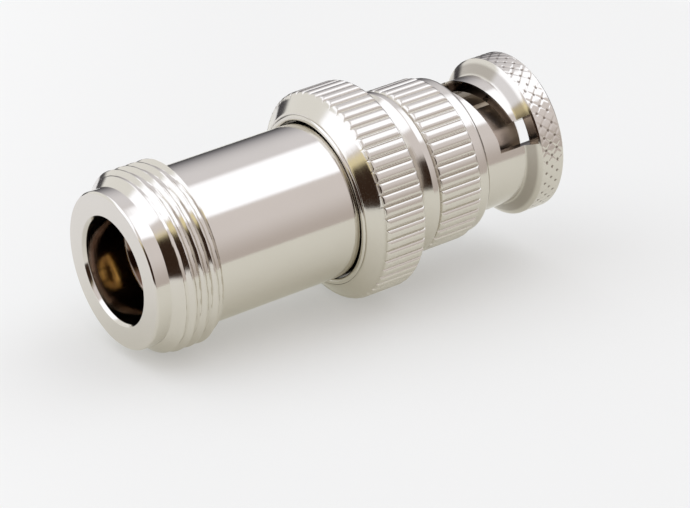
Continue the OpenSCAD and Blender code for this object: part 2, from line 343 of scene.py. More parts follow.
@dataclass(frozen=True)
class NutMetal(TurnedMetal):
    """Turned metal with painted shade in the pits where the rim's grooves cross and in the corner behind the
    rim.
    """

    rim_mm: Ends = (39.2, 41.3)
    rim_r_mm: float = 6.8
    # The pits and the corner behind the rim get painted shade.
    pit_reach: Ends = (0.08, 0.2)
    pit_shade_share: float = 0.9
    corner_mm: Ends = (38.3, 39.05)
    corner_fades_mm: Ends = (0.15, 0.2)
    corner_shade_share: float = 0.5
    knurls_mm: tuple[Triple, ...] = ((8.9, 21.2, 25.2), (6.95, 28.3, 32.5))
    knurl_wall_mm: float = 0.05
    fade_mm: float = 0.1

    def painted_shade_share(self, radius: Value, angle: Value, z: Value) -> Value:
        """Share of the dark colour: the largest of the painted shade of the bore, of the pits and of the
        corner.

        Two counts, of the grooves that climb to the right and to the left, are both near a whole number where
        grooves cross.

        Args:
            radius: distance from the axis in millimetres.
            angle: angle round the axis in radians.
            z: height in millimetres.

        Returns:
            The share, from 0 to 1.
        """
        turned, climb = angle * (RIM_DIAMONDS / TURN), z / RIM_PITCH_MM
        # Painted shade in the rim's pits, where the grooves cross.
        pit = self.near_whole(turned + climb) * self.near_whole(turned - climb) * self.pit_shade_share
        pit = pit * z.between(*self.rim_mm, self.fade_mm, self.fade_mm)
        pit = pit * radius.step(self.rim_r_mm - self.fade_mm, self.rim_r_mm)
        # Painted shade and painted dark reflection in the corner behind the rim.
        corner = z.between(*self.corner_mm, *self.corner_fades_mm) * self.corner_shade_share
        return super().painted_shade_share(radius, angle, z).math("MAXIMUM", pit).math("MAXIMUM", corner)

    def rolled(self, radius: Value, z: Value) -> Value | float:
        """1 on both straight knurls, where the rolling wheel has pressed the lathe's rings away."""
        return sum(
            radius.step(least, least + self.knurl_wall_mm) * z.between(low, high, self.fade_mm, self.fade_mm)
            for least, low, high in self.knurls_mm
        )

    def near_whole(self, value: Value) -> Value:
        """1 where a value is near a whole number, falling to 0 at the pit's reach from it."""
        off = ((value + 0.5).math("FRACT") - 0.5).math("ABSOLUTE")
        return 1 - off.step(*self.pit_reach)


@dataclass(frozen=True)
class SoftPolymer:
    """Insulators and the seal: pale or coloured polymer with a faint cloud and a fine grain."""

    colour: Colour
    tint: Colour
    roughness: float
    subsurface: float = 0.0
    cloud_scale: float = 420.0
    grain_scale: float = 5200.0
    grain_height: float = 0.2
    grain_swing: float = 0.15
    grain_depth_mm: float = 0.02

    def material(self, name: str) -> bpy.types.Material:
        """Makes the material, with a cloudy colour and a grain in its gloss and surface.

        Args:
            name: name of the material.

        Returns:
            The new material.
        """
        made = bpy.data.materials.new(name)
        graph = Graph(made)
        place = graph.value("ShaderNodeTexCoord", {}, {}, "Object")
        cloud = graph.noise(place, self.cloud_scale, CLOUD_DETAIL)
        grain = graph.noise(place, self.grain_scale, GRAIN_DETAIL)
        marks = {"Strength": self.grain_height, "Distance": self.grain_depth_mm * MM, "Height": grain}
        shader = {
            "Base Color": graph.mix(cloud, self.colour, self.tint),
            "Roughness": self.roughness + self.grain_swing * (grain - NOISE_MIDDLE),
            "Subsurface Weight": self.subsurface,
            "Normal": graph.value("ShaderNodeBump", {}, marks),
        }
        graph.finish(graph.value("ShaderNodeBsdfPrincipled", {}, shader))
        return made


FINISHES: dict[Finish, TurnedMetal | SoftPolymer] = {
    # The bore colours of the jack and the nut are painted shade.
    Finish.JACK: TurnedMetal(NICKEL, NICKEL_TINT, 0.1, bore_mm=4.7, bore_from_mm=0.3),
    Finish.NUT: NutMetal(
        NICKEL, NICKEL_TINT, 0.12, bore_mm=5.8, bore_from_mm=29.0, bore_shade_colour=(0.2, 0.165, 0.135, 1)
    ),
    Finish.RING: TurnedMetal(NICKEL, NICKEL_TINT, 0.12),
    # The fingers' dark bronze colour is partly their metal and partly painted shade inside the nut.
    Finish.FINGERS: TurnedMetal((0.58, 0.5, 0.42, 1), (0.5, 0.43, 0.36, 1), 0.3),
    Finish.GOLD: TurnedMetal((0.84, 0.48, 0.13, 1), (0.76, 0.41, 0.1, 1), 0.28),
    # The jack's white bead, deep in the bore, is painted dark: painted shade.
    Finish.BEAD: SoftPolymer((0.22, 0.2, 0.17, 1), (0.17, 0.15, 0.13, 1), 0.5),
    Finish.CORE: SoftPolymer((0.82, 0.82, 0.8, 1), (0.74, 0.74, 0.72, 1), 0.45, subsurface=0.1),
    Finish.SEAL: SoftPolymer((0.3, 0.06, 0.035, 1), (0.24, 0.05, 0.03, 1), 0.5),
    Finish.SPRING: TurnedMetal((0.5, 0.49, 0.48, 1), (0.44, 0.43, 0.42, 1), 0.3),
}


# Surfaces


def rounded(*corners: Triple, steps: int = 4, most: float = 0.45) -> np.ndarray:
    """Outline with softened corners.

    Each corner P with softness d is replaced by the curve (1-t)^2 A + 2t(1-t) P + t^2 B, where A and B lie d
    before and after P. The first and last points stay.

    Args:
        *corners: (radius, height, softness) of each corner, in order.
        steps: points on each softened corner, less one.
        most: largest share of a side that a corner's softness takes.

    Returns:
        Array of (radius, height) rows.
    """
    table = np.array(corners, float)
    points, soft = table[:, :2], table[:, 2]
    sides = np.diff(points, axis=0)
    lengths = np.linalg.norm(sides, axis=1)
    unit = sides / lengths[:, None]
    reach = np.minimum(soft[1:-1], most * np.minimum(lengths[:-1], lengths[1:]))[:, None]
    before = points[1:-1] - unit[:-1] * reach
    after = points[1:-1] + unit[1:] * reach
    t = np.linspace(0, 1, steps + 1)[None, :, None]
    bends = (1 - t) ** 2 * before[:, None] + 2 * t * (1 - t) * points[1:-1][:, None] + t**2 * after[:, None]
    keep = np.ones(bends.shape[:2], bool)
    keep[soft[1:-1] <= 0, 1:] = False
    return np.vstack([points[:1], bends[keep], points[-1:]])


def dense(outline: np.ndarray, longest: float) -> np.ndarray:
    """Outline with points added at even steps along each side.

    Args:
        outline: (radius, height) rows.
        longest: longest step.

    Returns:
        Array of (radius, height) rows.
    """
    lengths = np.linalg.norm(np.diff(outline, axis=0), axis=1)
    pieces = np.maximum(np.ceil(lengths / longest - TINY), 1).astype(int)
    side = np.repeat(np.arange(len(pieces)), pieces)
    first = np.repeat(np.cumsum(pieces) - pieces, pieces)
    t = ((np.arange(len(side)) - first) / pieces[side])[:, None]
    return np.vstack([outline[side] * (1 - t) + outline[side + 1] * t, outline[-1:]])


def revolve(angle: np.ndarray, *parts: Any) -> np.ndarray:
    """Points (r cos a, r sin a, h) of a turned surface.

    Args:
        angle: (columns,) angles a in radians.
        *parts: radii r and heights h of stretches that follow each other. Each is a number, one number for
            every column, or rows of either.

    Returns:
        (rows, columns, 3) points.
    """
    wide = [np.broadcast_arrays(radius, height, angle) for radius, height in parts]
    radius, height = (np.vstack([part[at] for part in wide]) for at in range(2))
    return np.stack([radius * np.cos(angle), radius * np.sin(angle), height], axis=-1)


class Shell:
    """Mesh that is collected from grids of points, in millimetres."""

    def __init__(self) -> None:
        """Starts with no points."""
        self.points: list[np.ndarray] = []
        self.faces: list[np.ndarray] = []
        self.count = 0

    def ring_grid(self, points: np.ndarray, shown: np.ndarray | None = None) -> np.ndarray:
        """Adds a grid that closes round its columns.

        A quad joins points (i, j), (i, j+1), (i+1, j+1) and (i+1, j), so its outer side is along the cross
        product of the turn and of the outline's direction.

        Args:
            points: (rows, columns, 3) points.
            shown: (columns,) flags of the columns whose quads are made, or None for all.

        Returns:
            (rows, columns) numbers of the points.
        """
        rows, columns = points.shape[:2]
        index = self.count + np.arange(rows * columns).reshape(rows, columns)
        self.points.append(points.reshape(-1, 3))
        self.count += rows * columns
        onward = np.roll(index, -1, axis=1)
        quads = np.stack([index[:-1], onward[:-1], onward[1:], index[1:]], axis=-1)
        if shown is not None:
            quads = quads[:, shown]
        self.faces.append(quads.reshape(-1, 4))
        return index

    def zip_rings(
        self, lower: np.ndarray, low_angle: np.ndarray, upper: np.ndarray, up_angle: np.ndarray
    ) -> None:
        """Joins two rings that have different points by triangles.

        All angles of both rings are sorted together. Each one, in turn, closes a triangle from its own
        ring's last step to the other ring's latest point.

        Args:
            lower: point numbers of the first ring.
            low_angle: its rising angles.
            upper: point numbers of the second ring.
            up_angle: its rising angles.
        """
        n, m = len(lower), len(upper)
        order = np.argsort(np.concatenate([low_angle, up_angle]), kind="stable")
        from_low = order < n
        at_low = np.cumsum(from_low) - 1
        at_up = np.cumsum(~from_low) - 1
        a_now, b_now = lower[at_low % n], upper[at_up % m]
        low_step = np.stack([lower[(at_low - 1) % n], a_now, b_now], axis=-1)[from_low]
        up_step = np.stack([a_now, b_now, upper[(at_up - 1) % m]], axis=-1)[~from_low]
        self.faces.append(np.vstack([low_step, up_step]))

    def build(self, name: str, sharp_deg: float = 32.0) -> bpy.types.Object:
        """Makes the object, in metres, with welded points and weighted normals.

        Args:
            name: name of the piece.
            sharp_deg: edges that bend more than this stay sharp.

        Returns:
            The new object, linked to the scene.
        """
        mesh = bpy.data.meshes.new(name)
        mesh.from_pydata(
            np.vstack(self.points) * MM, [], [face for table in self.faces for face in table.tolist()]
        )
        welded = bmesh.new()
        welded.from_mesh(mesh)
        bmesh.ops.remove_doubles(welded, verts=welded.verts, dist=WELD_MM * MM)
        welded.to_mesh(mesh)
        welded.free()
        mesh.polygons.foreach_set("use_smooth", np.ones(len(mesh.polygons), bool))
        mesh.set_sharp_from_angle(angle=math.radians(sharp_deg))
        made = bpy.data.objects.new(name, mesh)
        bpy.context.scene.collection.objects.link(made)
        smooth = made.modifiers.new("weighted", "WEIGHTED_NORMAL")
        smooth.keep_sharp = True
        return made


@dataclass
class Workshop:
    """Keeps the loaded frame and the finishes, and dresses pieces."""

    frame: dict[str, Any]
    materials: dict[Finish, bpy.types.Material] = field(default_factory=dict)

    def __post_init__(self) -> None:
        """Makes the materials."""
        self.materials = {name: finish.material(name.value) for name, finish in FINISHES.items()}

    def dress_node(self, node: str, finish: Finish) -> None:
        """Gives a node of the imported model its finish.

        Args:
            node: name of the node.
            finish: its finish.
        """
        mesh = self.frame["nodes"][node].data
        mesh.materials.clear()
        mesh.materials.append(self.materials[finish])
        LOG.info("node %s has finish %s", node, finish.value)

    def add(self, piece: bpy.types.Object, body: Body, slot: Slot, finish: Finish, *replaced: str) -> None:
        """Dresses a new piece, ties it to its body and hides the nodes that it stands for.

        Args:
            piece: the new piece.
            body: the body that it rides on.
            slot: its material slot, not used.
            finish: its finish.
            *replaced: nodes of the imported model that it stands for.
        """
        piece.data.materials.append(self.materials[finish])
        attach(piece, body.value)
        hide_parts(*replaced)
        LOG.info("piece %s rides on %s, %d faces", piece.name, body.value, len(piece.data.polygons))


# Sub-assemblies


@dataclass
class JackBody:
    """Turned body of the threaded jack, with its true helix."""

    nose_r: float = 6.85
    lead_z: float = 1.4
    thread_r: float = 7.94
    thread_z: float = 2.5
    thread_end: float = 5.806
    thread_depth: float = 0.4
    pitch: float = 1.058
    half_crest: float = 1 / 16
    half_root: float = 1 / 8
    barrel_r: float = 6.85
    barrel_end: float = 21.406
    step_r: float = 6.0
    end: float = 23.006
    spigot_r: float = 5.4
    bead_r: float = 4.2
    bead_z: float = 10.1
    bead_end: float = 15.2
    conductor_r: float = 3.5
    seat_r: float = 4.05
    seat_z: float = 4.6
    seat_end: float = 9.1
    mouth_r: float = 4.6
    mouth_end: float = 4.0
    mouth_break: float = 0.3
    break_r: float = 4.82
    face_r: float = 4.85
    edge: float = 0.3
    lip: float = 0.15
    soft: float = 0.05
    lip_soft: float = 0.06
    ledge_soft: float = 0.08
    taper_soft: float = 0.15
    break_soft: float = 0.02
    columns: int = 288
    thread_step: float = 0.035
    wall_step: float = 0.8

    def build(self, shop: Workshop) -> None:
        """Builds the body and lets it stand for its node.

        One outline, closed through the bore, is turned round the axis. On the thread the radius is the lesser
        of the outline's and of the endless thread's.

        Args:
            shop: dresses the piece.
        """
        front = rounded(
            (self.face_r, 0, 0), (self.nose_r - self.lip, 0, self.lip_soft),
            (self.nose_r, self.lip, self.lip_soft), (self.nose_r, self.lead_z, 0),
        )
        ramp = [
            (self.nose_r, self.lead_z), (self.thread_r, self.thread_z),
            (self.thread_r, self.thread_end), (self.barrel_r, self.thread_end + self.edge),
        ]
        thread = dense(np.array(ramp), self.thread_step)
        rest = dense(self.barrel_and_bore(), self.wall_step)
        angle = np.linspace(0, TURN, self.columns, endpoint=False)
        radius, height = np.hsplit(np.vstack([front[:-1], thread, rest[1:-1]]), 2)
        radius = np.repeat(radius, self.columns, axis=1)
        cut = slice(len(front) - 1, len(front) - 1 + len(thread))
        radius[cut] = np.minimum(radius[cut], self.thread_radius(height[cut], angle))
        points = revolve(angle, (radius, height))
        shell = Shell()
        shell.ring_grid(np.concatenate([points, points[:1]]))
        shop.add(shell.build("jack_body_turned"), Body.ADAPTER, Slot.NICKEL, Finish.JACK, "jack_body")

    def barrel_and_bore(self) -> np.ndarray:
        """Outline from the thread along the barrel, round the tail and through the bores to the face.

        Returns:
            Array of (radius, height) rows.
        """
        return rounded(
            (self.barrel_r, self.thread_end + self.edge, 0),
            (self.barrel_r, self.barrel_end - self.lip, self.soft),
            (self.barrel_r - self.lip, self.barrel_end, self.soft),
            (self.step_r, self.barrel_end, self.soft),
            (self.step_r, self.end, 0), (self.spigot_r, self.end, 0),
            (self.spigot_r, self.bead_end, 0), (self.bead_r, self.bead_end, 0),
            (self.bead_r, self.bead_z, 0), (self.conductor_r, self.bead_z, 0),
            (self.conductor_r, self.seat_end, self.ledge_soft),
            (self.seat_r, self.seat_end, self.soft), (self.seat_r, self.seat_z, self.taper_soft),
            (self.mouth_r, self.mouth_end, self.taper_soft),
            (self.mouth_r, self.mouth_break, self.lip_soft),
            (self.break_r, 0, self.break_soft), (self.face_r, 0, 0),
        )

    def thread_radius(self, height: np.ndarray, angle: np.ndarray) -> np.ndarray:
        """Radius of an endless right-handed thread.

        The height less the helix's climb, over the pitch, gives the place in the thread form. From the middle
        of a crest the radius stays for half of the crest, falls evenly by the thread's depth, and stays for
        half of the root.

        Args:
            height: (rows, 1) heights.
            angle: (columns,) angles in radians.

        Returns:
            (rows, columns) radii.
        """
        place = (height - self.pitch * angle / TURN) / self.pitch
        off = np.abs(place - np.round(place))
        flank = 0.5 - self.half_crest - self.half_root
        return self.thread_r - self.thread_depth * np.clip((off - self.half_crest) / flank, 0, 1)


@dataclass(frozen=True)
class Knurl:
    """Straight knurling: ridges along the axis, with round crowns and round ends."""

    top_r: float
    foot: float
    end: float
    ridges: int
    turn_deg: float
    depth: float = 0.29
    parts: tuple[float, ...] = (0.02, 0.06, 0.11, 0.19, 0.33)
    crown_half: float = 0.48
    crown_power: int = 4
    round_mm: float = 0.42
    round_rows: int = 9
    round_power: float = 1.5
    rows: int = 8

    def valley_r(self) -> float:
        """Radius of the valleys between the ridges."""
        return self.top_r - self.depth

    def angles(self) -> np.ndarray:
        """Angles of the columns, at the same parts of every ridge on both sides of its crown.

        Returns:
            Rising angles in radians.
        """
        half = np.array(self.parts)
        parts = np.concatenate([half, 1 - half[::-1]])
        angle = (np.arange(self.ridges)[:, None] + parts).ravel() / self.ridges * TURN
        return np.sort(np.mod(angle + math.radians(self.turn_deg), TURN))

    def stretch(self, angle: np.ndarray) -> tuple[np.ndarray, np.ndarray]:
        """Surface of the knurling.

        A ridge's height is 1 less a power of the way from the crown's middle to the valley's edge, and 0 in
        the valley. The radius follows the ridge or, where that is less, a quarter round at either end.

        Args:
            angle: angles of the columns.

        Returns:
            Radii (rows, columns) and heights (rows, 1).
        """
        part = np.mod((angle - math.radians(self.turn_deg)) / TURN * self.ridges, 1)
        ridge = np.clip(1 - ((part - 0.5) / self.crown_half) ** self.crown_power, 0, 1)
        ends = self.round_mm * np.linspace(0, 1, self.round_rows) ** self.round_power
        even = np.linspace(self.foot, self.end, self.rows)[1:-1]
        z = np.concatenate([self.foot + ends, even, self.end - ends[::-1]])[:, None]
        off = np.clip(np.minimum(z - self.foot, self.end - z) / self.round_mm, 0, 1)
        cover = np.sqrt(1 - (1 - off) ** 2)
        return self.valley_r() + self.depth * np.minimum(ridge, cover), z


@dataclass
class CouplingNut:
    """Knurled coupling nut with its slotted neck and cross-knurled rim.

    The grip's knurl ends a hair before its front face, so that the rows there stay apart.
    """

    nut_z: float = 20.106
    ring_r: float = 7.55
    grip: Knurl = Knurl(top_r=9.25, foot=21.206, end=25.186, ridges=55, turn_deg=-1.8)
    grip_end: float = 25.206
    band: Knurl = Knurl(top_r=7.3, foot=28.306, end=32.506, ridges=42, turn_deg=2.2)
    waist_r: float = 6.55
    slope_z: float = 26.506
    collar_z: float = 27.506
    tip_z: float = 33.206
    tip_deg: float = 80.0
    tip_rows: int = 16
    neck_z: float = 34.006
    neck_r: float = 5.85
    neck_end: float = 38.306
    neck_rows: int = 6
    foot: tuple[Ends, Ends] = ((0.04, -0.005), (0.01, 0.01))
    foot_end: float = 0.08
    rim_z: float = 39.106
    rim_r: float = 7.1
    rim_end: float = 41.606
    rim_depth: float = 0.045
    rim_groove: float = 0.18
    rim_fade: float = 0.12
    rim_edge: float = 0.2
    rim_land: float = 0.25
    rim_rear: float = 0.07
    rim_soft: float = 0.05
    rim_rows: int = 40
    rim_columns: int = 14
    bore_r: float = 4.9
    mouth_r: float = 5.1
    mouth_z: float = 39.906
    bore_step: float = 30.406
    hub_r: float = 6.05
    cavity_end: float = 24.456
    stud_r: float = 5.6
    slot_w: float = 2.3
    slot_turn: float = 93.0
    slot_rise: float = 1.9
    slot_start: float = -85.0
    slot_in_z: float = 36.956
    slot_apart: float = 180.0
    lock_r: float = 1.25
    lock_columns: int = 25
    wall_deg: float = 0.12
    column_deg: float = 1.5
    clear_deg: float = 1.0
    margin_deg: float = 0.5
    past_deg: float = 0.01
    edge: float = 0.3
    lip: float = 0.15
    soft: float = 0.06
    fillet: float = 0.1
    collar_soft: float = 0.08
    hair: float = 0.02
    rear_land: float = 0.03
    waist_lands: Ends = (0.35, 0.3)
    face_lands: Ends = (0.6, 0.5)
    slope_step: float = 0.25
    shoulder_step: float = 0.2

    def build(self, shop: Workshop) -> None:
        """Builds the nut and lets it stand for its node.

        The zones follow each other along the outside and back through the bore. Zones that have different
        columns are zipped together. Those on either side of the slots have the same columns, meet between the
        slots and are joined by the slots' walls.

        Args:
            shop: dresses the piece.
        """
        shell = Shell()
        grip, band, neck = self.grip.angles(), self.band.angles(), self.neck_angles()
        rim = np.linspace(0, TURN, RIM_DIAMONDS * self.rim_columns, endpoint=False)
        low, high, is_open, in_groove = self.slot_edges(neck)
        zones = [
            (grip, self.grip_zone(grip)),
            (band, self.band_zone(band)),
            (neck, self.neck_below(neck, low)),
            (neck, self.neck_above(neck, high)),
            (rim, self.rim_zone(rim)),
            (neck, self.bore_above(neck, high, in_groove)),
            (neck, self.bore_below(neck, low)),
        ]
        rings = [(shell.ring_grid(points), angle) for angle, points in zones]
        for (lower, low_angle), (upper, up_angle) in zip(rings, rings[1:] + rings[:1]):
            if low_angle is not up_angle:
                shell.zip_rings(lower[-1], low_angle, upper[0], up_angle)

        walled = is_open | np.roll(is_open, -1)
        passed = np.where(in_groove, self.stud_r, self.bore_r)
        outer = self.shoulder_radius(high)
        shell.ring_grid(revolve(neck, (self.neck_r, low), (self.bore_r, low)), walled)
        shell.ring_grid(revolve(neck, (passed, high), (outer, high)), walled)
        shop.add(shell.build("coupling_nut_turned"), Body.COUPLING, Slot.NICKEL, Finish.NUT, "coupling_nut")

    def grip_zone(self, angle: np.ndarray) -> np.ndarray:
        """Rear face, sloping shoulder and large knurl, up to the grip's front face.

        A row's radius and height are the same all round, but for the radius on the knurl.

        Args:
            angle: angles of the columns.

        Returns:
            (rows, columns, 3) points.
        """
        valley = self.grip.valley_r()
        slope = rounded(
            (self.ring_r + self.rear_land, self.nut_z, 0),
            (self.ring_r + self.lip, self.nut_z, self.soft), (valley, self.grip.foot, 0),
        )
        return revolve(
            angle,
            np.hsplit(dense(slope, self.slope_step)[:-1], 2),
            self.grip.stretch(angle),
            (valley - self.soft, self.grip_end),
            (self.waist_r + self.waist_lands[0], self.grip_end),
        )

    def band_zone(self, angle: np.ndarray) -> np.ndarray:
        """Waist, collar, small knurl and its rounded end.

        The end is part of an ellipse: the radius falls to the neck's with the cosine of an angle, and the
        height rises with its sine.

        Args:
            angle: angles of the columns.

        Returns:
            (rows, columns, 3) points.
        """
        valley, top = self.band.valley_r(), self.band.top_r
        collar = rounded(
            (self.waist_r + self.waist_lands[1], self.grip_end, 0),
            (self.waist_r, self.grip_end, self.fillet), (self.waist_r, self.slope_z, self.fillet),
            (top, self.collar_z, self.collar_soft), (top, self.band.foot - self.edge, self.fillet),
            (valley, self.band.foot, 0),
        )
        turn = np.radians(np.linspace(0, self.tip_deg, self.tip_rows))[:, None]
        tip_r = self.neck_r + (valley - self.neck_r) * np.cos(turn)
        tip_z = self.tip_z + (self.neck_z - self.tip_z) * np.sin(turn)
        return revolve(angle, np.hsplit(collar[:-1], 2), self.band.stretch(angle), (tip_r, tip_z))

    def spread(self, length: float) -> float:
        """Angle in degrees that a length takes up on the neck's surface."""
        return math.degrees(length / self.neck_r)

    def neck_angles(self) -> np.ndarray:
        """Angles of the neck's columns, closer together at the slots' ends and walls.

        Counted from the way in, the columns are evenly spread, with a cosine spread over the locking hole and
        three columns at each wall of the way in. The second slot's columns are the first one's, turned.

        Returns:
            Rising angles in radians.
        """
        half, lock = self.spread(self.slot_w / 2), self.spread(self.lock_r)
        fine = np.cos(np.linspace(0, math.pi, self.lock_columns)) * lock - self.slot_turn
        wall = np.array([0, 0.5, 1]) * self.wall_deg
        behind = half - self.slot_apart
        walls = np.concatenate([wall - half, half - wall[1:], [behind + self.past_deg]])
        even = np.arange(behind + self.clear_deg, half - self.clear_deg, self.column_deg)
        even = even[np.abs(even + self.slot_turn) > lock + self.margin_deg]
        one = np.concatenate([even[np.abs(even + half) > self.margin_deg], fine, walls])
        both = np.concatenate([one, one + self.slot_apart]) + self.slot_start
        return np.sort(np.mod(np.radians(both), TURN))

    def slot_edges(self, angle: np.ndarray) -> tuple[np.ndarray, np.ndarray, np.ndarray, np.ndarray]:
        """Lower and upper edge of the bayonet slots at each angle.

        Counted back from the way in, the slot's middle falls evenly to the locking hole, and its edges lie
        half a slot's width below and above. At the hole the edges follow its circle. The way in is open up to
        the rim, and one column inside each of its walls it ends at the neck's end, so the walls follow the
        shoulder. Between the slots both edges lie together on a line that joins their middles.

        Args:
            angle: angles of the columns.

        Returns:
            Lower edge, upper edge, flags of open columns and flags of columns in a stud groove.
        """
        half, lock = self.spread(self.slot_w / 2), self.spread(self.lock_r)
        behind = self.slot_apart - half
        turned = np.mod(np.degrees(angle) - self.slot_start - half, self.slot_apart) - behind
        end_z = self.slot_in_z - self.slot_rise
        middle = self.slot_in_z + self.slot_rise * np.clip(turned, -self.slot_turn, 0) / self.slot_turn
        width = np.where(turned >= -self.slot_turn, self.slot_w / 2, 0)
        across = np.radians(turned + self.slot_turn) * self.neck_r
        bulge = np.sqrt(np.maximum(self.lock_r**2 - across**2, 0))
        bulge = np.where(bulge > 0, bulge, -np.inf)
        low = np.minimum(middle - width, end_z - bulge)
        high = np.maximum(middle + width, end_z + bulge)
        wall_column = np.round(2 * (half - np.abs(turned)) / self.wall_deg)
        in_groove = wall_column >= 1
        high = np.where(in_groove, np.where(wall_column >= 2, self.rim_z, self.neck_end), high)
        past = -self.slot_turn - lock - turned
        closed = past >= -TINY
        line = end_z + self.slot_rise * np.clip(past / (behind - self.slot_turn - lock), 0, 1)
        return np.where(closed, line, low), np.where(closed, line, high), ~closed, in_groove

    def shoulder_radius(self, high: np.ndarray) -> np.ndarray:
        """Radius at the slots' upper edge: the neck's, or the shoulder's top where the way in is open."""
        return np.where(high > self.neck_end + TINY, self.rim_r - self.lip, self.neck_r)

    def neck_below(self, angle: np.ndarray, low: np.ndarray) -> np.ndarray:
        """Neck from its foot to the slots' lower edge, with rows at even shares of that way.

        Args:
            angle: angles of the columns.
            low: lower edge of the slots at each column.

        Returns:
            (rows, columns, 3) points.
        """
        foot = np.array(self.foot) + (self.neck_r, self.neck_z)
        start = np.minimum(self.neck_z + self.foot_end, low - self.hair)
        share = np.linspace(0, 1, self.neck_rows)[:, None]
        wall = start * (1 - share) + low * share
        return revolve(angle, np.hsplit(foot, 2), (self.neck_r, wall))

    def neck_above(self, angle: np.ndarray, high: np.ndarray) -> np.ndarray:
        """Neck from the slots' upper edge, with the shoulder up to the rim.

        The rows lie at even shares of the way to the neck's end and then along the shoulder. No point lies
        below the slots' edge, so on the way in they all end at the shoulder's top.

        Args:
            angle: angles of the columns.
            high: upper edge of the slots at each column.

        Returns:
            (rows, columns, 3) points.
        """
        share = np.linspace(0, 1, self.neck_rows)[:, None]
        wall = high * (1 - share) + np.maximum(self.neck_end, high) * share
        least = self.shoulder_radius(high)
        rise = rounded(
            (self.neck_r, self.neck_end, 0), (self.rim_r - self.lip, self.rim_z, self.soft),
            (self.rim_r - self.collar_soft, self.rim_z + self.soft, 0),
        )
        radius, height = np.hsplit(dense(rise[1:], self.shoulder_step), 2)
        return revolve(angle, (least, wall), (np.maximum(radius, least), np.maximum(height, high)))

    def rim_zone(self, angle: np.ndarray) -> np.ndarray:
        """Rim with crossing grooves, front edge and front face.

        Two families of V grooves climb to the right and to the left. Their depths add up, so that pits lie at
        the crossings, and the grooves fade out at both ends of the rim.

        Args:
            angle: angles of the columns.

        Returns:
            (rows, columns, 3) points.
        """
        z = np.linspace(self.rim_z + self.lip, self.rim_end - self.rim_land, self.rim_rows)
        climb = z[:, None] / RIM_PITCH_MM
        turned = angle[None, :] / TURN * RIM_DIAMONDS
        ways = np.stack([turned + climb, turned - climb])
        cut = np.clip(1 - np.abs(ways - np.round(ways)) / self.rim_groove, 0, 1).sum(axis=0)
        fade = np.clip(np.minimum(z - z[0], z[-1] - z) / self.rim_fade, 0, 1)[:, None]
        radius = self.rim_r - self.rim_depth * cut * fade
        rear = rounded(
            (self.rim_r - self.rim_rear, self.rim_z + self.rim_rear, 0),
            (self.rim_r, self.rim_z + self.lip - self.hair, self.rim_soft),
            (self.rim_r, self.rim_z + self.lip - self.hair / 2, 0),
        )
        front = rounded(
            (self.rim_r, self.rim_end - self.rim_land + self.hair / 2, 0),
            (self.rim_r, self.rim_end - self.rim_edge, self.rim_soft),
            (self.rim_r - self.rim_edge, self.rim_end, self.soft),
            (self.stud_r + self.face_lands[0], self.rim_end, 0),
        )
        return revolve(angle, np.hsplit(rear, 2), (radius, z[:, None]), np.hsplit(front, 2))

    def bore_above(self, angle: np.ndarray, high: np.ndarray, in_groove: np.ndarray) -> np.ndarray:
        """Front face, mouth and bore down to the slots' upper edge, wider in the stud grooves.

        Args:
            angle: angles of the columns.
            high: upper edge of the slots at each column.
            in_groove: flags of columns in a stud groove.

        Returns:
            (rows, columns, 3) points.
        """
        mouth = np.where(in_groove, self.stud_r, self.mouth_r)
        bore = np.where(in_groove, self.stud_r, self.bore_r)
        return revolve(
            angle,
            (self.stud_r + self.face_lands[1], self.rim_end),
            (mouth + self.lip, self.rim_end),
            (mouth, self.rim_end - self.lip),
            (mouth, self.mouth_z),
            (bore, self.mouth_z - self.hair),
            (bore, high),
        )

    def bore_below(self, angle: np.ndarray, low: np.ndarray) -> np.ndarray:
        """Stepped bore from the slots' lower edge to the nut's rear face.

        Args:
            angle: angles of the columns.
            low: lower edge of the slots at each column.

        Returns:
            (rows, columns, 3) points.
        """
        steps = [
            (self.bore_r, self.bore_step), (self.hub_r, self.bore_step), (self.hub_r, self.cavity_end),
            (self.ring_r, self.cavity_end), (self.ring_r, self.nut_z),
        ]
        return revolve(angle, (self.bore_r, low), np.hsplit(np.array(steps), 2))


@dataclass
class BackRing:
    """Ring pressed into the back of the nut, with rounded lips."""

    bore_r: float = 7.0
    outer_r: float = 7.55
    foot: float = 19.956
    end: float = 21.506
    lip: float = 0.15
    soft: float = 0.1
    land: float = 0.2
    columns: int = 240

    def build(self, shop: Workshop) -> None:
        """Builds the ring, a closed outline turned round the axis, and lets it stand for its node.

        Args:
            shop: dresses the piece.
        """
        outline = rounded(
            (self.outer_r - self.land, self.foot, 0), (self.outer_r - self.lip, self.foot, self.soft),
            (self.outer_r, self.foot + self.lip, self.soft), (self.outer_r, self.end, 0),
            (self.bore_r, self.end, 0), (self.bore_r, self.foot + self.lip, self.soft),
            (self.bore_r + self.lip, self.foot, self.soft), (self.outer_r - self.land, self.foot, 0),
        )
        angle = np.linspace(0, TURN, self.columns, endpoint=False)
        shell = Shell()
        shell.ring_grid(revolve(angle, np.hsplit(outline, 2)))
        shop.add(shell.build("back_ring_turned"), Body.COUPLING, Slot.NICKEL, Finish.RING, "back_ring")


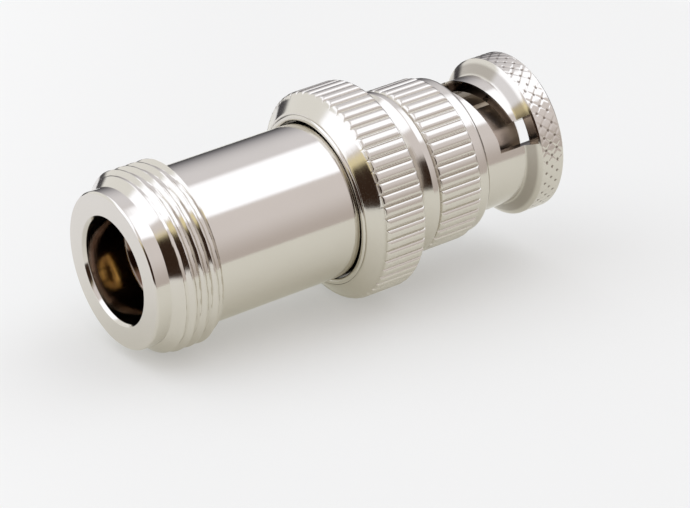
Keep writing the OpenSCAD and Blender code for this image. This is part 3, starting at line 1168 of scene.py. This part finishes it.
@dataclass
class WaveWashers:
    """Two wave springs under the flange, built at their free height."""

    bore_r: float = 6.1
    outer_r: float = 7.45
    foot: float = 21.906
    strip: float = 0.2
    free: float = 0.55
    lobes: int = 3
    columns: int = 144
    nodes: tuple[str, ...] = ("wave_washer_rear", "wave_washer_front")

    def build(self, shop: Workshop) -> None:
        """Builds both washers, with waves that meet back to back, and dresses each one.

        Args:
            shop: dresses the pieces.
        """
        for place, node in enumerate(self.nodes):
            piece = self.washer(f"{node}_bent", self.foot + place * self.free, place * math.pi)
            shop.add(piece, Body.ADAPTER, Slot.SPRING, Finish.SPRING, node)
            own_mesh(piece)

    def washer(self, name: str, foot: float, turn: float) -> bpy.types.Object:
        """One washer: a flat strip that rises and falls with the cosine of the angle.

        Args:
            name: name of the piece.
            foot: height of its lowest point.
            turn: turn of the wave in radians.

        Returns:
            The new piece.
        """
        angle = np.linspace(0, TURN, self.columns, endpoint=False)
        lift = (self.free - self.strip) / 2 * (1 + np.cos(self.lobes * angle + turn))
        radius = np.array([self.bore_r, self.outer_r, self.outer_r, self.bore_r, self.bore_r])
        height = np.array([0, 0, self.strip, self.strip, 0])
        shell = Shell()
        shell.ring_grid(revolve(angle, (radius[:, None], foot + lift + height[:, None])))
        return shell.build(name)


# Studio


@dataclass
class Studio:
    """Pale floor that the adapter lies on, soft surrounding light and the photograph's camera.

    The zones of the surround rise or end between two values of a direction's part along an axis. A soft box
    has an azimuth, an elevation and a radius in degrees.
    """

    right: Triple = (0.33505, -0.46904, 0.81716)
    up: Triple = (-0.94202, -0.14967, 0.30033)
    eye_mm: Triple = (0.0, -244.468, -117.007)
    focal_px: float = 3300.0
    sensor_mm: float = 36.0
    clip_mm: Ends = (10.0, 10000.0)
    floor_tilt_deg: float = 24.0
    floor_at_mm: float = -7.78
    floor_half_mm: float = 100.0
    floor_centre_mm: Ends = (20.4, 18.0)
    floor_reach_mm: Ends = (67.0, 77.0)
    floor_left_mm: Ends = (5.0, 45.0)
    # The floor's glow, its brighter left side and its tints in reflections are painted light.
    floor_paper: Colour = (0.515, 0.515, 0.478, 1)
    floor_glow: float = 0.32
    floor_bright: Colour = (1.14, 1.14, 1.14, 1)
    floor_warm: Colour = (0.92, 0.9, 0.77, 1)
    floor_cool: Colour = (1.3, 1.29, 1.42, 1)
    room_low: Colour = (0.62, 0.56, 0.545, 1)
    room_high: Colour = (0.87, 0.82, 0.845, 1)
    room_rise: Ends = (-0.1, 0.5)
    wall_low: Colour = (0.08, 0.077, 0.084, 1)
    wall_high: Colour = (0.9, 0.885, 0.955, 1)
    wall_rise: Ends = (-0.15, 0.75)
    wall_side: Ends = (0.2, 0.6)
    fringe: Colour = (1.0, 0.88, 0.55, 1)
    fringe_reach: Ends = (0.74, 0.82)
    fringe_left: Ends = (0.1, 0.3)
    fringe_foot: Ends = (-0.02, 0.05)
    fringe_top: Ends = (0.34, 0.44)
    box_white: Colour = (1.55, 1.6, 1.78, 1)
    box_edge: float = 0.012
    boxes: tuple[Triple, ...] = (
        (80, 62, 18.5), (51, 45, 19), (50, 28, 14), (38, 60, 11), (125, 67, 14),
        (-96, 25, 28), (-94, 54, 28), (-30, 50, 12),
    )
    card: Colour = (0.04, 0.022, 0.014, 1)
    card_deg: float = 199.0
    card_reach: Ends = (0.84, 0.9)
    card_foot: Ends = (-0.28, -0.2)
    card_top: Ends = (0.28, 0.52)
    backdrop_deg: Ends = (-62.0, 12.0)
    backdrop_reach: Ends = (0.86, 0.92)

    def build(self) -> None:
        """Makes the camera, the floor and the light."""
        bpy.context.scene.view_settings.view_transform = "Standard"
        self.make_camera()
        self.make_floor()
        self.make_world()

    def back(self) -> Vector:
        """Direction from the object to the camera."""
        return Vector(self.right).cross(Vector(self.up)).normalized()

    def floor_normal(self) -> Vector:
        """Upward direction of the floor: the picture's up, tilted towards the camera."""
        tilt = math.radians(self.floor_tilt_deg)
        return (Vector(self.up) * math.cos(tilt) + self.back() * math.sin(tilt)).normalized()

    def make_camera(self) -> None:
        """Makes the camera from its axes, its eye point and its focal length in pixels."""
        data = bpy.data.cameras.new("camera")
        data.sensor_width = self.sensor_mm
        data.lens = self.focal_px / PHOTO_WIDTH_PX * self.sensor_mm
        data.clip_start, data.clip_end = (reach * MM for reach in self.clip_mm)
        made = bpy.data.objects.new("camera", data)
        axes = Matrix((self.right, self.up, self.back())).transposed()
        made.matrix_world = Matrix.Translation(Vector(self.eye_mm) * MM) @ axes.to_4x4()
        bpy.context.scene.collection.objects.link(made)
        bpy.context.scene.camera = made

    def make_floor(self) -> None:
        """Makes the floor, a square round a point that lies behind the adapter's middle."""
        normal = self.floor_normal()
        along, behind = self.floor_centre_mm
        middle = Vector((0, 0, along)) + behind * self.toward(0, 0)
        centre = (middle + (self.floor_at_mm - middle.dot(normal)) * normal) * MM
        side = normal.orthogonal().normalized()
        axes = Matrix((side, normal.cross(side), normal)).transposed().to_4x4()
        half = self.floor_half_mm * MM
        corners = [(a * half, b * half, 0) for a, b in ((-1, -1), (1, -1), (1, 1), (-1, 1))]
        mesh = bpy.data.meshes.new("floor")
        mesh.from_pydata(corners, [], [(0, 1, 2, 3)])
        mesh.materials.append(self.paper(axes.inverted().to_3x3() @ -Vector(self.right)))
        made = bpy.data.objects.new("floor", mesh)
        made.matrix_world = Matrix.Translation(centre) @ axes
        bpy.context.scene.collection.objects.link(made)

    def paper(self, left: Vector) -> bpy.types.Material:
        """Makes the floor's pale paper.

        It can be seen from above only and it fades out away from its middle. It glows with painted light that
        lifts its shadow; to the camera the glow is brighter on the left, and in reflections it is warm on the
        right and cool on the left.

        Args:
            left: the picture's left, in the floor's own axes.

        Returns:
            The new material.
        """
        made = bpy.data.materials.new("floor_paper")
        graph = Graph(made)
        place = graph.value("ShaderNodeTexCoord", {}, {}, "Object")
        far = graph.value("ShaderNodeVectorMath", {"operation": "LENGTH"}, {0: place}, "Value")
        gone = far.step(*(reach * MM for reach in self.floor_reach_mm))
        under = graph.value("ShaderNodeNewGeometry", {}, {}, "Backfacing")
        hidden = gone.math("MAXIMUM", under)
        seen = graph.value("ShaderNodeLightPath", {}, {}, "Is Camera Ray")
        # Painted light: the floor's glow, brighter on the left for the camera, warm on the right and cool on
        # the left in reflections.
        share = place.along(left).step(*(reach * MM for reach in self.floor_left_mm))
        direct = graph.mix(share, WHITE, self.floor_bright)
        mirrored = graph.mix(share, self.floor_warm, self.floor_cool)
        shader = {
            "Base Color": self.floor_paper,
            "Roughness": 1.0,
            "Specular IOR Level": 0.0,
            "Emission Color": graph.mix(seen, mirrored, direct),
            "Emission Strength": self.floor_glow,
        }
        paper = graph.value("ShaderNodeBsdfPrincipled", {}, shader)
        clear = graph.value("ShaderNodeBsdfTransparent", {}, {})
        graph.finish(graph.value("ShaderNodeMixShader", {}, {0: hidden, 1: paper, 2: clear}))
        return made

    def toward(self, azimuth: float, elevation: float) -> Vector:
        """Direction in the studio.

        Args:
            azimuth: degrees along the floor, 0 away from the camera and 90 to its right.
            elevation: degrees above the floor.

        Returns:
            The direction, one long.
        """
        az, el = math.radians(azimuth), math.radians(elevation)
        normal = self.floor_normal()
        right = Vector(self.right)
        away = normal.cross(right)
        return math.cos(el) * (math.sin(az) * right + math.cos(az) * away) + math.sin(el) * normal

    def make_world(self) -> None:
        """Makes the surround: a room, a backdrop, white soft boxes and a dark card on the camera's side.

        Everything depends on the direction alone. Plain views past the floor see the white backdrop, and
        metal sees it where it stands, behind the adapter and to the left.
        """
        world = bpy.data.worlds.new("surround")
        bpy.context.scene.world = world
        graph = Graph(world)
        look = graph.value("ShaderNodeTexCoord", {}, {}, "Generated")
        height = look.along(self.floor_normal())
        behind = look.along(self.toward(0, 0))
        left = look.along(self.toward(-90, 0))
        card = look.along(self.toward(self.card_deg, 0))

        room = graph.mix(height.step(*self.room_rise), self.room_low, self.room_high)
        wall = graph.mix(height.step(*self.wall_rise), self.wall_low, self.wall_high)
        colour = graph.mix(behind.step(*self.wall_side), room, wall)
        glow = card.step(*self.fringe_reach) * left.step(*self.fringe_left)
        glow = glow * height.step(*self.fringe_foot) * (1 - height.step(*self.fringe_top))
        colour = graph.mix(glow, colour, self.fringe)
        for azimuth, elevation, radius in self.boxes:
            near = look.along(self.toward(azimuth, elevation))
            edge = math.cos(math.radians(radius))
            colour = graph.mix(near.step(edge - self.box_edge, edge + self.box_edge), colour, self.box_white)
        dark = card.step(*self.card_reach) * height.step(*self.card_foot) * (1 - height.step(*self.card_top))
        colour = graph.mix(dark, colour, self.card)

        rays = graph.node("ShaderNodeLightPath", {}, {}).outputs
        camera, glossy, through = (
            Value(graph, rays[f"Is {kind} Ray"]) for kind in ("Camera", "Glossy", "Transmission")
        )
        backdrop = look.along(self.toward(*self.backdrop_deg)).step(*self.backdrop_reach)
        past = camera.math("MAXIMUM", through).math("MAXIMUM", glossy * backdrop)
        colour = graph.mix(past, colour, WHITE)
        graph.finish(graph.value("ShaderNodeBackground", {}, {"Color": colour, "Strength": 1.0}))


NODE_FINISHES: dict[str, Finish] = {
    "jack_insulator": Finish.BEAD,
    "socket_contact": Finish.GOLD,
    "pin_contact": Finish.GOLD,
    "plug_insulator": Finish.CORE,
    "plug_body": Finish.FINGERS,
    "seal_ring": Finish.SEAL,
    "thrust_washer": Finish.SPRING,
}


def main() -> None:
    """Builds the studio and every piece."""
    logging.basicConfig(level=logging.INFO, format="%(name)s: %(message)s")
    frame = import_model()
    Studio().build()
    shop = Workshop(frame)
    for node, finish in NODE_FINISHES.items():
        shop.dress_node(node, finish)
    JackBody().build(shop)
    CouplingNut().build(shop)
    BackRing().build(shop)
    WaveWashers().build(shop)


if __name__ == "__main__":
    main()
